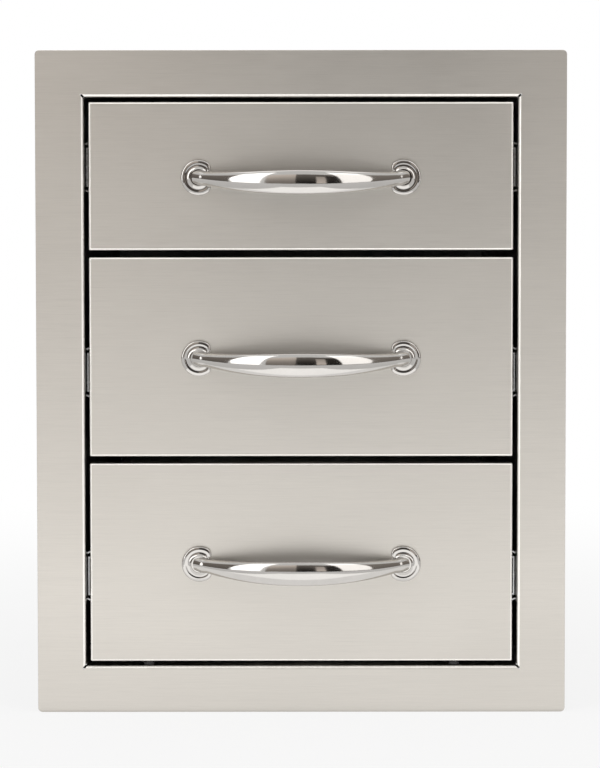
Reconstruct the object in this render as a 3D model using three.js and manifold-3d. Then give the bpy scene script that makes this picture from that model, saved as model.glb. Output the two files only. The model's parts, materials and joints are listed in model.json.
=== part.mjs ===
// Outdoor kitchen drawer unit: a flush front frame, a folded housing behind it and three drawers
// that run on full-extension ball-bearing slides.
// Millimetres, +X to the right, +Y into the island, +Z up. The drawers pull out towards -Y.
// The plane y = 0 is the back of the front flange, which rests against the island's face, and the
// origin is the middle of the bottom rail on that plane.

import * as THREE from 'three';
import { mergeVertices } from 'three/addons/utils/BufferGeometryUtils.js';
import Module from 'manifold-3d';

const wasm = await Module();
wasm.setup();

// Driving dimensions: fits
const seatGap = 0.3;
const overrun = 5;

// Driving dimensions: front frame
const openingWidth = 400;
const openingHeight = 526;
const stileWidth = 44.5;
const railHeight = 43;
const frameSheet = 1.5;
const frameBend = 1.5;
const returnDepth = 18;
const frameCornerRadius = 4;
const mitreSlit = 1.2;

// Driving dimensions: housing
const housingSheet = 1.2;
const housingBend = 1;
const panelSetback = 3;
const rearRoom = 31;
const rearFlangeWidth = 15;
const lapFlangeHeight = 16;
const mountHoleDiameter = 6;
const mountHoleSetback = 28;
const upperMountHoleDrop = 119.5;
const lowerMountHoleRise = 128;

// Driving dimensions: pads under the bottom front
const padDiameter = 10;
const padInset = 58;
const padRunningGap = 0.8;

// Driving dimensions: drawer fronts
const sideReveal = 4.5;
const endReveal = 4.5;
const betweenReveal = 6.5;
const topFrontShare = 0.27;
const frontSheet = 1;
const frontBend = 1;
const frontSetback = 0.5;
const linerSheet = 0.9;
const linerFlange = 12;

// Driving dimensions: trays
const traySheet = 0.9;
const trayBend = 0.5;
const trayFloorRise = 14;
const trayTopDrop = 22;
const trayRearSetback = 8;
const hemDepth = 8;
const hemFlat = 0.3;
const rearFlangeDepth = 12;
const hemClearance = 2;

// Driving dimensions: slides
const slideHeight = 46;
const slideLength = 457;
const slideSetback = 2;
const slideRise = 77;
const memberSheet = 1.2;
const memberBend = 0.6;
const memberShoulder = 0.8;
const raceTransition = 1.3;
const slideRunGap = 0.35;
const ballDiameter = 3.4;
const ballClearance = 0.3;
const retainerSheet = 0.5;
const retainerGrip = 0.8;
const retainerLengthShare = 0.45;
const cupHalfAngle = THREE.MathUtils.degToRad(55);
const waveHalfAngle = THREE.MathUtils.degToRad(30);

// Driving dimensions: handles
const footSpacing = 188.5;
const handleDrop = 1.3;
const footDiameter = 32.6;
const footChord = 11;
const footLobeRadius = 5.5;
const footHeight = 5;
const handleProjection = 40;
const barRootRise = 1.5;
const barDroop = 5.2;
const barEndHeight = 12.3;
const barMiddleHeight = 21.8;
const legThickness = 13;
const barFrontDepth = 3.5;
const barBackDepth = 5;
const footCurl = THREE.MathUtils.degToRad(45);
const screwDiameter = 4;
const screwHeadDiameter = 8;
const screwHeadHeight = 2.5;
const screwEngagement = 6;

// How far the bar runs on inside its foot, as a share of half its span
const barRootShare = 0.03;

// Shares of the foot's outline and height, from its seat up the rim, over the groove to the leg
const footRadiusShares = [1, 1, 0.94, 0.86, 0.74, 0.58, 0.44];
const footHeightShares = [0, 0.45, 0.8, 0.76, 0.42, 0.46, 1];

// How finely round stretches are stepped
const bendSteps = 2;
const cornerSteps = 4;
const raceSteps = 4;
const holeSides = 10;
const roundSides = 10;
const ballSides = 6;
const ballRings = 4;
const ballsInRow = 4;
const footArcSteps = 11;
const footLobeSteps = 4;
const barSides = 14;
const barSteps = 10;
const domeSteps = 2;

// Sizes worked out from the driving dimensions
const frameWidth = openingWidth + 2 * stileWidth;
const frameHeight = openingHeight + 2 * railHeight;
const openingBottom = railHeight / 2;
const openingTop = openingBottom + openingHeight;
const frameOutsideBend = frameSheet + frameBend;

const slideFront = returnDepth + slideSetback;
const slideBack = slideFront + slideLength;
const housingBack = slideBack + rearRoom;
const sidePanelInside = openingWidth / 2 + frameSheet + seatGap;
const sidePanelOutside = sidePanelInside + housingSheet;
const bottomPanelTop = openingBottom - frameSheet - seatGap;
const topPanelUnderside = openingTop + frameSheet + seatGap;
const sidePanelBottom = bottomPanelTop + seatGap;
const sidePanelTop = topPanelUnderside - seatGap;
const backPanelFront = housingBack + seatGap;
const backPanelRear = backPanelFront + housingSheet;

const frontHalfWidth = openingWidth / 2 - sideReveal;
const frontsHeight = openingHeight - 2 * endReveal - 2 * betweenReveal;
const topFrontHeight = frontsHeight * topFrontShare;
const lowFrontHeight = (frontsHeight - topFrontHeight) / 2;
const frontBack = returnDepth - frontSetback;

const raceRadius = ballDiameter / 2 + ballClearance;
const outerRaceRadius = raceRadius + memberSheet;
const cupHalfWidth = raceRadius * Math.sin(cupHalfAngle);
const cupRimDepth = raceRadius * Math.cos(cupHalfAngle);
const outerRetainerWeb = memberSheet + slideRunGap;
const middleWeb = outerRetainerWeb + retainerSheet + slideRunGap;
const innerRetainerWeb = middleWeb + memberSheet + slideRunGap;
const outerBallOffset = middleWeb + memberShoulder + raceRadius * Math.sin(waveHalfAngle);
const waveReach = (raceRadius + outerRaceRadius) * Math.sin(waveHalfAngle);
const innerBallOffset = outerBallOffset + raceTransition + waveReach;
const outerBallHeight = slideHeight / 2 - outerRaceRadius;
const innerBallHeight = outerBallHeight - raceRadius - outerRaceRadius;
const memberOutsideBend = memberSheet + memberBend;
const slideThickness = innerBallOffset + cupHalfWidth + memberShoulder + memberOutsideBend;
const retainerLength = slideLength * retainerLengthShare;

const trayHalfWidth = sidePanelInside - seatGap - slideThickness - seatGap;
const trayFront = frontBack + seatGap;
const trayBack = slideBack - trayRearSetback;

const barRise = handleProjection - barFrontDepth - barRootRise;
const screwHoleRadius = screwDiameter / 2 + seatGap;

// Builds a solid that can be joined and cut from a closed mesh, with its faces turned outwards.
function toSolid(geometry) {
  geometry.deleteAttribute('normal');
  geometry.deleteAttribute('uv');
  const merged = mergeVertices(geometry);
  const corners = merged.index.array;
  const point = (i) => new THREE.Vector3().fromBufferAttribute(merged.attributes.position, i);
  const triangles = [];
  let volume = 0;
  for (let i = 0; i < corners.length; i += 3) {
    const [a, b, c] = corners.slice(i, i + 3);
    if (a !== b && b !== c && c !== a) {
      triangles.push([a, b, c]);
      volume += point(a).dot(point(b).cross(point(c)));
    }
  }
  const turned = volume < 0 ? triangles.map(([a, b, c]) => [a, c, b]) : triangles;
  return new wasm.Manifold(new wasm.Mesh({
    numProp: 3,
    vertProperties: Float32Array.from(merged.attributes.position.array),
    triVerts: Uint32Array.from(turned.flat()),
  }));
}

// Turns a finished solid back into a geometry for a mesh.
function toGeometry(solid) {
  const { vertProperties, triVerts } = solid.getMesh();
  const geometry = new THREE.BufferGeometry();
  geometry.setAttribute('position', new THREE.BufferAttribute(Float32Array.from(vertProperties), 3));
  geometry.setIndex(Array.from(triVerts));
  geometry.computeVertexNormals();
  return geometry;
}

const unitX = new THREE.Vector3(1, 0, 0);
const unitY = new THREE.Vector3(0, 1, 0);
const unitZ = new THREE.Vector3(0, 0, 1);
const prismTurns = {
  x: new THREE.Matrix4().makeBasis(unitY, unitZ, unitX),
  y: new THREE.Matrix4().makeBasis(unitX, unitZ, unitY.clone().negate()),
  z: new THREE.Matrix4(),
};

// Extrudes an outline from one place to another along x, y or z. The outline's points are
// (y, z), (x, z) or (x, y) for these axes.
function prism(outline, axis, from, to) {
  const shape = new THREE.Shape(outline.map(([a, b]) => new THREE.Vector2(a, b)));
  const geometry = new THREE.ExtrudeGeometry(shape, { depth: to - from, bevelEnabled: false });
  geometry.applyMatrix4(prismTurns[axis]);
  const start = { x: [from, 0, 0], y: [0, to, 0], z: [0, 0, from] };
  geometry.translate(...start[axis]);
  return toSolid(geometry);
}

function box(x0, x1, y0, y1, z0, z1) {
  return prism(rectangle(x0, x1, y0, y1), 'z', z0, z1);
}

function rectangle(a0, a1, b0, b1) {
  return [[a0, b0], [a1, b0], [a1, b1], [a0, b1]];
}

// Points on an arc, both ends included.
function arc(centreA, centreB, radius, from, to, steps) {
  return Array.from({ length: steps + 1 }, (_, i) => {
    const angle = from + ((to - from) * i) / steps;
    return [centreA + radius * Math.cos(angle), centreB + radius * Math.sin(angle)];
  });
}

function circle(centreA, centreB, radius, sides) {
  return arc(centreA, centreB, radius, 0, 2 * Math.PI, sides).slice(1);
}

// A path whose inner corners are replaced by arcs of one radius.
function rounded(path, radius) {
  const points = path.map(([a, b]) => new THREE.Vector2(a, b));
  const result = [path[0]];
  for (let i = 1; i + 1 < points.length; i += 1) {
    const before = points[i].clone().sub(points[i - 1]).normalize();
    const after = points[i + 1].clone().sub(points[i]).normalize();
    const turn = Math.atan2(before.cross(after), before.dot(after));
    const side = Math.sign(turn);
    const start = points[i].clone().addScaledVector(before, -radius * Math.tan(Math.abs(turn) / 2));
    const centre = start.clone().add(new THREE.Vector2(-before.y, before.x).multiplyScalar(side * radius));
    const startAngle = Math.atan2(start.y - centre.y, start.x - centre.x);
    result.push(...arc(centre.x, centre.y, radius, startAngle, startAngle + turn, bendSteps));
  }
  result.push(path[path.length - 1]);
  return result;
}

// The closed outline of a folded sheet: one face follows the path, and the sheet's thickness
// lies to the left of it, or to the right where the thickness is negative.
function foldedSheet(path, thickness) {
  const points = path.map(([a, b]) => new THREE.Vector2(a, b));
  const directions = points.slice(1).map((point, i) => point.clone().sub(points[i]).normalize());
  const otherFace = points.map((point, i) => {
    const before = directions[Math.max(i - 1, 0)];
    const after = directions[Math.min(i, directions.length - 1)];
    const between = before.clone().add(after).normalize();
    const normal = new THREE.Vector2(-between.y, between.x);
    return point.clone().addScaledVector(normal, thickness / between.dot(after)).toArray();
  });
  return [...path, ...otherFace.reverse()];
}

// A path from one end to the other that mirrors its upper half about the first axis.
function mirrored(upperHalf) {
  const lowerHalf = upperHalf.slice(1).reverse().map(([a, b]) => [a, -b]);
  return [...lowerHalf, ...upperHalf.slice(1)];
}

// Skins a row of rings that have equal counts of points, and closes both ends with a fan from
// the middle of the end ring.
function loft(rings) {
  const count = rings[0].length;
  const last = (rings.length - 1) * count;
  const startMiddle = last + count;
  const endMiddle = startMiddle + 1;
  const index = [];
  for (let ring = 0; ring < last; ring += count) {
    for (let i = 0; i < count; i += 1) {
      const a = ring + i;
      const b = ring + ((i + 1) % count);
      index.push(a, b, b + count, a, b + count, a + count);
    }
  }
  for (let i = 0; i < count; i += 1) {
    const next = (i + 1) % count;
    index.push(startMiddle, next, i, endMiddle, last + i, last + next);
  }
  const middles = [rings[0], rings[rings.length - 1]].map((ring) => middleOf(ring));
  const geometry = new THREE.BufferGeometry();
  const positions = [...rings.flat(), ...middles].flat();
  geometry.setAttribute('position', new THREE.Float32BufferAttribute(positions, 3));
  geometry.setIndex(index);
  return toSolid(geometry);
}

function middleOf(points) {
  const sum = points.reduce((total, point) => total.map((value, i) => value + point[i]), [0, 0, 0]);
  return sum.map((value) => value / points.length);
}

// Revolves a profile of (radius, height) points that starts and ends on the axis.
function revolve(profile, sides) {
  return toSolid(new THREE.LatheGeometry(profile.map(([r, h]) => new THREE.Vector2(r, h)), sides));
}

// Finishes, with the colours seen in daylight-like studio light
const finishes = {
  brushedSteel: { color: 0xc8c2ba, roughness: 0.38, metalness: 1 },
  polishedSteel: { color: 0xe2dfda, roughness: 0.12, metalness: 1 },
  housingSteel: { color: 0xaeb0b1, roughness: 0.45, metalness: 1 },
  zincSteel: { color: 0xb9bec2, roughness: 0.3, metalness: 1 },
  retainerSteel: { color: 0x8f9294, roughness: 0.35, metalness: 1 },
  screwSteel: { color: 0xc4c5c6, roughness: 0.25, metalness: 1 },
  rubber: { color: 0x3a3a3c, roughness: 0.85, metalness: 0 },
};

function piece(name, solid, finish) {
  const mesh = new THREE.Mesh(toGeometry(solid), new THREE.MeshStandardMaterial(finishes[finish]));
  mesh.name = name;
  return mesh;
}

function place(object, x, y, z) {
  object.position.set(x, y, z);
  return object;
}

// Front frame: a flat plate with round outer corners, and four returns bent in round the opening.
// Neighbouring returns stop short of each other on a slit along the mitre.
function frontFrame() {
  const middle = openingBottom + openingHeight / 2;
  const holeHalfWidth = openingWidth / 2 + frameOutsideBend;
  const holeHalfHeight = openingHeight / 2 + frameOutsideBend;
  const cornerX = frameWidth / 2 - frameCornerRadius;
  const cornerZ = frameHeight / 2 - frameCornerRadius;
  const quarter = Math.PI / 2;
  const corners = [[1, 1], [-1, 1], [-1, -1], [1, -1]];
  const outline = corners.flatMap(([right, up], i) => arc(
    right * cornerX,
    up * cornerZ,
    frameCornerRadius,
    i * quarter,
    (i + 1) * quarter,
    cornerSteps,
  ));
  const hole = rectangle(-holeHalfWidth, holeHalfWidth, -holeHalfHeight, holeHalfHeight);
  let frame = prism(outline, 'y', -frameSheet, 0).subtract(prism(hole, 'y', -overrun, overrun));
  const edges = [
    [openingWidth, openingHeight / 2],
    [openingHeight, openingWidth / 2],
    [openingWidth, openingHeight / 2],
    [openingHeight, openingWidth / 2],
  ];
  edges.forEach(([length, distance], i) => {
    const strip = frameReturn(length).translate([0, 0, distance]);
    frame = frame.add(strip.rotate([0, THREE.MathUtils.radToDeg(i * quarter), 0]));
  });
  return place(piece('front_frame', frame, 'brushedSteel'), 0, 0, middle);
}

// One return of the frame, along x, with the opening below z = 0 and the plate above.
function frameReturn(length) {
  const plateOverlap = frameOutsideBend + frameSheet;
  const face = rounded([[-frameSheet, plateOverlap], [-frameSheet, 0], [returnDepth, 0]], frameOutsideBend);
  const halfSlit = mitreSlit * Math.SQRT1_2;
  const reach = length / 2 + plateOverlap;
  const mitre = [
    [-length / 2 + overrun + halfSlit, -overrun],
    [length / 2 - overrun - halfSlit, -overrun],
    [reach - halfSlit, plateOverlap],
    [-reach + halfSlit, plateOverlap],
  ];
  const strip = prism(foldedSheet(face, frameSheet), 'x', -reach, reach);
  return strip.intersect(prism(mitre, 'y', -overrun, returnDepth + overrun));
}

// Side panel of the housing, with an inward flange at the rear and holes for fixing screws.
function sidePanel(name, side) {
  const inside = side * sidePanelInside;
  const path = [
    [side * sidePanelOutside, panelSetback],
    [side * sidePanelOutside, housingBack],
    [inside - side * rearFlangeWidth, housingBack],
  ];
  const outline = foldedSheet(rounded(path, housingSheet + housingBend), side * housingSheet);
  let panel = prism(outline, 'z', sidePanelBottom, sidePanelTop);
  const holeHeights = [openingTop - upperMountHoleDrop, openingBottom + lowerMountHoleRise];
  holeHeights.forEach((height) => {
    const hole = circle(mountHoleSetback, height, mountHoleDiameter / 2, holeSides);
    const ends = [inside - side * overrun, inside + side * overrun].sort((a, b) => a - b);
    panel = panel.subtract(prism(hole, 'x', ...ends));
  });
  return piece(name, panel, 'housingSteel');
}

// Top or bottom panel, with flanges that lap the insides of the side panels. The flanges start
// behind the frame's returns and stop before the flanges at the side panels' rear edges.
function endPanel(name, insideHeight, inward) {
  const lap = sidePanelInside - seatGap;
  const outsideHeight = insideHeight - inward * housingSheet;
  const lapEnd = insideHeight + inward * lapFlangeHeight;
  const lapRear = housingBack - housingSheet - housingBend;
  const path = [[-lap, lapEnd], [-lap, outsideHeight], [lap, outsideHeight], [lap, lapEnd]];
  const outline = foldedSheet(rounded(path, housingSheet + housingBend), inward * housingSheet);
  const heights = [insideHeight, lapEnd + inward * overrun].sort((a, b) => a - b);
  const cut = (from, to) => box(-lap - overrun, lap + overrun, from, to, ...heights);
  const panel = prism(outline, 'y', panelSetback, backPanelRear)
    .subtract(cut(panelSetback - overrun, slideFront))
    .subtract(cut(lapRear, backPanelRear + overrun));
  return piece(name, panel, 'housingSteel');
}

function backPanel() {
  const panel = box(
    -sidePanelOutside,
    sidePanelOutside,
    backPanelFront,
    backPanelRear,
    sidePanelBottom,
    sidePanelTop,
  );
  return piece('back_panel', panel, 'housingSteel');
}

// Low round pad on the bottom return, which the bottom front passes over.
function restPad(name, side) {
  const radius = padDiameter / 2;
  const height = endReveal - seatGap - padRunningGap;
  const rounding = height / 2;
  const edge = arc(radius - rounding, height - rounding, rounding, 0, Math.PI / 2, domeSteps);
  const pad = revolve([[0, 0], [radius, 0], ...edge, [0, height]], roundSides);
  const mesh = piece(name, pad.rotate([90, 0, 0]), 'rubber');
  const fromMiddle = openingWidth / 2 - padInset;
  return place(mesh, side * fromMiddle, returnDepth / 2, openingBottom + seatGap);
}

// A block whose edges are rounded at its closed end, as one side of a folded pan.
function panBlock(halfWidth, bottom, top, openEnd, closedEnd, radius) {
  const inwards = Math.sign(openEnd - closedEnd);
  const ring = (inset, y) => rectangle(
    -halfWidth + inset,
    halfWidth - inset,
    bottom + inset,
    top - inset,
  ).map(([x, z]) => [x, y, z]);
  const edge = arc(radius, radius, radius, Math.PI, Math.PI * 1.5, bendSteps);
  const rounding = edge.map(([inset, depth]) => ring(inset, closedEnd + inwards * depth));
  return loft([ring(0, openEnd), ...rounding]);
}

// A pan folded from one sheet, open towards one end.
function pan(halfWidth, bottom, top, openEnd, closedEnd, sheet, insideBend) {
  const inwards = Math.sign(openEnd - closedEnd);
  const outside = panBlock(halfWidth, bottom, top, openEnd, closedEnd, sheet + insideBend);
  const inside = panBlock(
    halfWidth - sheet,
    bottom + sheet,
    top - sheet,
    openEnd + inwards * overrun,
    closedEnd + inwards * sheet,
    insideBend,
  );
  return outside.subtract(inside);
}

// Holes for the two handle screws through a wall of the front.
function screwHoles(centreHeight, from, to) {
  const holes = [-1, 1].map((side) => prism(
    circle((side * footSpacing) / 2, centreHeight, screwHoleRadius, holeSides),
    'y',
    from,
    to,
  ));
  return holes[0].add(holes[1]);
}

// Visible skin of a drawer front.
function frontSkin(name, height) {
  const skin = pan(frontHalfWidth, 0, height, frontBack, -frameSheet, frontSheet, frontBend);
  const holes = screwHoles(height / 2 - handleDrop, -frameSheet - overrun, overrun);
  return piece(name, skin.subtract(holes), 'brushedSteel');
}

// Inner pan that closes the back of a drawer front and carries the tray.
function frontLiner(name, height) {
  const inset = frontSheet + seatGap;
  const openEnd = frontBack - linerFlange;
  const liner = pan(frontHalfWidth - inset, inset, height - inset, openEnd, frontBack, linerSheet, frontBend);
  const holes = screwHoles(height / 2 - handleDrop, frontBack - overrun, frontBack + overrun);
  return piece(name, liner.subtract(holes), 'housingSteel');
}

// Floor and sides of a drawer folded from one sheet, with hemmed top edges. Its front edge seats
// on the liner.
function tray(name, boxTop) {
  const hemWidth = 2 * (traySheet + trayBend) + hemFlat;
  const leftHalf = [
    [-trayHalfWidth + hemWidth, boxTop - hemDepth],
    [-trayHalfWidth + hemWidth, boxTop],
    [-trayHalfWidth, boxTop],
    [-trayHalfWidth, trayFloorRise],
  ];
  const rightHalf = leftHalf.map(([x, z]) => [-x, z]).reverse();
  const outline = foldedSheet(rounded([...leftHalf, ...rightHalf], traySheet + trayBend), traySheet);
  return piece(name, prism(outline, 'y', trayFront, trayBack), 'brushedSteel');
}

// Rear wall of a tray, with side flanges that lap the insides of the tray's walls.
function trayRearWall(name, boxTop) {
  const halfWidth = trayHalfWidth - traySheet - seatGap;
  const flangeEnd = trayBack - rearFlangeDepth;
  const path = [
    [halfWidth, flangeEnd],
    [halfWidth, trayBack],
    [-halfWidth, trayBack],
    [-halfWidth, flangeEnd],
  ];
  const outline = foldedSheet(rounded(path, traySheet + trayBend), traySheet);
  const bottom = trayFloorRise + traySheet + trayBend;
  const top = boxTop - hemDepth - hemClearance;
  return piece(name, prism(outline, 'z', bottom, top), 'brushedSteel');
}

// Outline of a handle foot: a disc cut off towards the middle of the handle, where its rim ends
// in two round lobes that curl back to the bar. The lobes are towards +x, and share scales the
// outline about the disc's centre.
function footOutline(share) {
  const radius = footDiameter / 2;
  const lobeX = footChord - footLobeRadius;
  const lobeZ = Math.sqrt((radius - footLobeRadius) ** 2 - lobeX ** 2);
  const lobeAngle = Math.atan2(lobeZ, lobeX);
  const outline = [
    ...arc(0, 0, radius, lobeAngle, 2 * Math.PI - lobeAngle, footArcSteps).slice(1, -1),
    ...arc(lobeX, -lobeZ, footLobeRadius, -lobeAngle, footCurl, footLobeSteps),
    ...arc(lobeX, lobeZ, footLobeRadius, -footCurl, lobeAngle, footLobeSteps),
  ];
  return outline.map(([x, z]) => [x * share, z * share]);
}

// Round foot with a raised rim and a hollow groove that rises again to the leg.
function handleFoot(side) {
  const rings = footRadiusShares.map((share, i) => footOutline(share).map(([x, z]) => [
    side * (x - footSpacing / 2),
    -footHeight * footHeightShares[i],
    z,
  ]));
  return loft(rings);
}

// Bar that bows out from foot to foot as a parabola. Its section grows from a round end to a tall
// lens in the middle, and its ends run on into the feet down to the seat.
function handleBar() {
  const half = footSpacing / 2;
  const ring = (outboardShare, side) => {
    const tangent = new THREE.Vector2(half, -2 * barRise * outboardShare).normalize();
    const inboardShare = Math.max(1 - outboardShare, 0);
    const growthShare = Math.sin((inboardShare * Math.PI) / 2);
    const height = barEndHeight + (barMiddleHeight - barEndHeight) * growthShare;
    const front = legThickness / 2 + (barFrontDepth - legThickness / 2) * growthShare;
    const back = legThickness / 2 + (barBackDepth - legThickness / 2) * growthShare;
    const droop = barDroop * (1 - (1 - inboardShare) ** 3);
    return circle(0, 0, 1, barSides).map(([across, up]) => {
      const depth = across * (across > 0 ? back : front);
      const x = -half * outboardShare - tangent.y * depth;
      const y = tangent.x * depth - barRootRise - barRise * (1 - outboardShare ** 2);
      return [side * x, y, (up * height) / 2 - droop];
    });
  };
  const stations = Array.from({ length: barSteps + 1 }, (_, i) => (1 + barRootShare) * (1 - i / barSteps));
  const left = stations.map((share) => ring(share, 1));
  const right = stations.slice(0, -1).reverse().map((share) => ring(share, -1));
  return loft([...left, ...right]).trimByPlane([0, -1, 0], 0);
}

function handle(name, frontHeight) {
  const holes = screwHoles(0, -screwEngagement - seatGap, overrun);
  const solid = handleFoot(1).add(handleFoot(-1)).add(handleBar()).subtract(holes);
  const seat = -frameSheet - seatGap;
  return place(piece(name, solid, 'polishedSteel'), 0, seat, frontHeight / 2 - handleDrop);
}

// Screw from inside the drawer through liner and skin into a foot of the handle.
function handleScrew(name, side, frontHeight) {
  const underHead = frontBack + seatGap;
  const tip = -frameSheet - seatGap - screwEngagement;
  const radius = screwDiameter / 2;
  const headRadius = screwHeadDiameter / 2;
  const dome = arc(0, 0, 1, 0, Math.PI / 2, domeSteps).map(([across, up]) => [
    headRadius * across,
    underHead + screwHeadHeight * up,
  ]);
  const screw = revolve([[0, tip], [radius, tip], [radius, underHead], ...dome], roundSides);
  const centreHeight = frontHeight / 2 - handleDrop;
  return place(piece(name, screw, 'screwSteel'), (side * footSpacing) / 2, 0, centreHeight);
}

// Slide profiles. The first number of a point is the distance from the side panel, and the
// second is the height above the slide's centre line.

// Member fixed to the side panel: a channel whose flanges cup the outer balls from outside.
function cabinetMemberOutline() {
  const rim = outerBallHeight + cupRimDepth;
  const cup = arc(
    outerBallOffset,
    outerBallHeight,
    raceRadius,
    Math.PI / 2 + cupHalfAngle,
    Math.PI / 2 - cupHalfAngle,
    raceSteps,
  );
  return foldedSheet(mirrored([[memberSheet, 0], [memberSheet, rim], ...cup]), memberSheet);
}

// Member between: its flanges wave under the outer balls and over the inner balls.
function intermediateMemberOutline() {
  const groove = arc(
    outerBallOffset,
    outerBallHeight,
    raceRadius,
    -Math.PI / 2 - waveHalfAngle,
    -Math.PI / 2 + waveHalfAngle,
    raceSteps,
  );
  const hump = arc(
    innerBallOffset,
    innerBallHeight,
    outerRaceRadius,
    Math.PI / 2 + waveHalfAngle,
    Math.PI / 2 - waveHalfAngle,
    raceSteps,
  );
  return foldedSheet(mirrored([[middleWeb, 0], [middleWeb, groove[0][1]], ...groove, ...hump]), -memberSheet);
}

// Member fixed to the drawer: a smaller channel whose flanges cup the inner balls from inside.
function drawerMemberOutline() {
  const rim = innerBallHeight - cupRimDepth;
  const cup = arc(
    innerBallOffset,
    innerBallHeight,
    raceRadius,
    -Math.PI / 2 + cupHalfAngle,
    -Math.PI / 2 - cupHalfAngle,
    raceSteps,
  );
  const web = rounded([[slideThickness, 0], [slideThickness, rim], cup[0]], memberOutsideBend);
  return foldedSheet(mirrored([...web.slice(0, -1), ...cup]), memberSheet);
}

function slideMember(name, outline) {
  return piece(name, prism(outline, 'y', 0, slideLength), 'zincSteel');
}

// Strip that holds two rows of balls, wrapped round the web of the member behind it.
function ballRetainer(name, web, ballOffset, ballHeight) {
  const top = ballHeight + retainerSheet / 2;
  const armEnd = ballOffset - ballDiameter / 2 + retainerGrip;
  const path = mirrored([[web, 0], [web, top], [armEnd, top]]);
  const start = (slideLength - retainerLength) / 2;
  let solid = prism(foldedSheet(path, -retainerSheet), 'y', start, start + retainerLength);
  const pitch = retainerLength / ballsInRow;
  for (let i = 0; i < ballsInRow; i += 1) {
    [-1, 1].forEach((row) => {
      const ball = toSolid(new THREE.SphereGeometry(ballDiameter / 2, ballSides, ballRings));
      const along = start + pitch * (i + 1 / 2);
      const turned = ball.rotate([90, 0, 0]);
      solid = solid.add(turned.translate([ballOffset, along, row * ballHeight]));
    });
  }
  return piece(name, solid, 'retainerSteel');
}

// One slide, drawn for the left side of the housing and turned over for the right.
function slide(prefix, side, height) {
  const sideName = side < 0 ? 'left' : 'right';
  const name = (part) => `${prefix}_slide_${part}_${sideName}`;
  const group = new THREE.Group();
  group.add(
    slideMember(name('cabinet_member'), cabinetMemberOutline()),
    slideMember(name('intermediate_member'), intermediateMemberOutline()),
    slideMember(name('drawer_member'), drawerMemberOutline()),
    ballRetainer(name('outer_retainer'), outerRetainerWeb, outerBallOffset, outerBallHeight),
    ballRetainer(name('inner_retainer'), innerRetainerWeb, innerBallOffset, innerBallHeight),
  );
  group.rotation.y = side > 0 ? Math.PI : 0;
  return place(group, side * (sidePanelInside - seatGap), slideFront, height);
}

// One drawer with its slides, its front's lower edge at z = 0 of the group.
function drawer(prefix, frontHeight, bottom) {
  const boxTop = frontHeight - trayTopDrop;
  const group = new THREE.Group();
  group.add(
    frontSkin(`${prefix}_front_skin`, frontHeight),
    frontLiner(`${prefix}_front_liner`, frontHeight),
    tray(`${prefix}_tray`, boxTop),
    trayRearWall(`${prefix}_tray_back`, boxTop),
    handle(`${prefix}_handle`, frontHeight),
    handleScrew(`${prefix}_handle_screw_left`, -1, frontHeight),
    handleScrew(`${prefix}_handle_screw_right`, 1, frontHeight),
    slide(prefix, -1, slideRise),
    slide(prefix, 1, slideRise),
  );
  return place(group, 0, 0, bottom);
}

const bottomFrontBottom = openingBottom + endReveal;
const middleFrontBottom = bottomFrontBottom + lowFrontHeight + betweenReveal;
const topFrontBottom = middleFrontBottom + lowFrontHeight + betweenReveal;

const drawerUnit = new THREE.Group();
drawerUnit.add(
  frontFrame(),
  sidePanel('side_panel_left', -1),
  sidePanel('side_panel_right', 1),
  endPanel('top_panel', topPanelUnderside, -1),
  endPanel('bottom_panel', bottomPanelTop, 1),
  backPanel(),
  restPad('rest_pad_left', -1),
  restPad('rest_pad_right', 1),
  drawer('bottom', lowFrontHeight, bottomFrontBottom),
  drawer('middle', lowFrontHeight, middleFrontBottom),
  drawer('top', topFrontHeight, topFrontBottom),
);

export default drawerUnit;
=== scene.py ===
import json
import math

import bmesh
import bpy
from mathutils import Euler, Matrix, Vector


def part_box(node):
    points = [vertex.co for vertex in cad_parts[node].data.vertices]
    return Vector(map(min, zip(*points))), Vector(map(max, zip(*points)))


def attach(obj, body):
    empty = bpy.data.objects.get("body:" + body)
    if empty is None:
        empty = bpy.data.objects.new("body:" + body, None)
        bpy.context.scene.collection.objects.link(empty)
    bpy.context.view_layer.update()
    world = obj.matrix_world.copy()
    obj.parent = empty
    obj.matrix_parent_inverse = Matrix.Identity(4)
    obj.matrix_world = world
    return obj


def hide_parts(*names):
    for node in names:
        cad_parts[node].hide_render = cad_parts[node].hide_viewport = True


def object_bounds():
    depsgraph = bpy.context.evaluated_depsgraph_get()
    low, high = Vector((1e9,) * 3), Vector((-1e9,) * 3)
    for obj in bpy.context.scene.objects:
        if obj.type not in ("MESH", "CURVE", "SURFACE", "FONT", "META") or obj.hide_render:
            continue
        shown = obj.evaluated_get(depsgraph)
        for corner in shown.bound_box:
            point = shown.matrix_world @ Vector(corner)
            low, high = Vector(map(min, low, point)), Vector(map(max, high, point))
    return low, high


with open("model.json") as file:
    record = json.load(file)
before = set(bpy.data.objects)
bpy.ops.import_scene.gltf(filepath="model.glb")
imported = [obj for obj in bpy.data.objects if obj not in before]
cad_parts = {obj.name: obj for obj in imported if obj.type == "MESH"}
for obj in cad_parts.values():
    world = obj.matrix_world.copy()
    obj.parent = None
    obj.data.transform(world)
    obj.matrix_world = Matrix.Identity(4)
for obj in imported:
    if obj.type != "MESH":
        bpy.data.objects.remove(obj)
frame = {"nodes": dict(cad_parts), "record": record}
cad_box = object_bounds()
scene = bpy.context.scene

# Sizes are in millimetres, as a maker gives them, and become metres where a mesh is made.
MM = 0.001
DRAWERS = ("bottom", "middle", "top")
SIDES = {"left": -1, "right": 1}

# Front frame
OPENING_WIDTH = 400
OPENING_BOTTOM = 21.5
OPENING_TOP = 547.5
FRAME_SHEET = 1.5
FRAME_OUTSIDE_BEND = 3
RETURN_DEPTH = 18
FRAME_CORNER = 4
FRAME_EDGE_BREAK = 0.25
MITRE_SLIT = 2
# The beads behind each mitre slit and the slit walls are near-black: painted shade
SLIT_SHADE_BEAD_START = 0.3
SLIT_SHADE_BEAD_FRONT = 3
SLIT_SHADE_BEAD_REAR = 7

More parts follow.
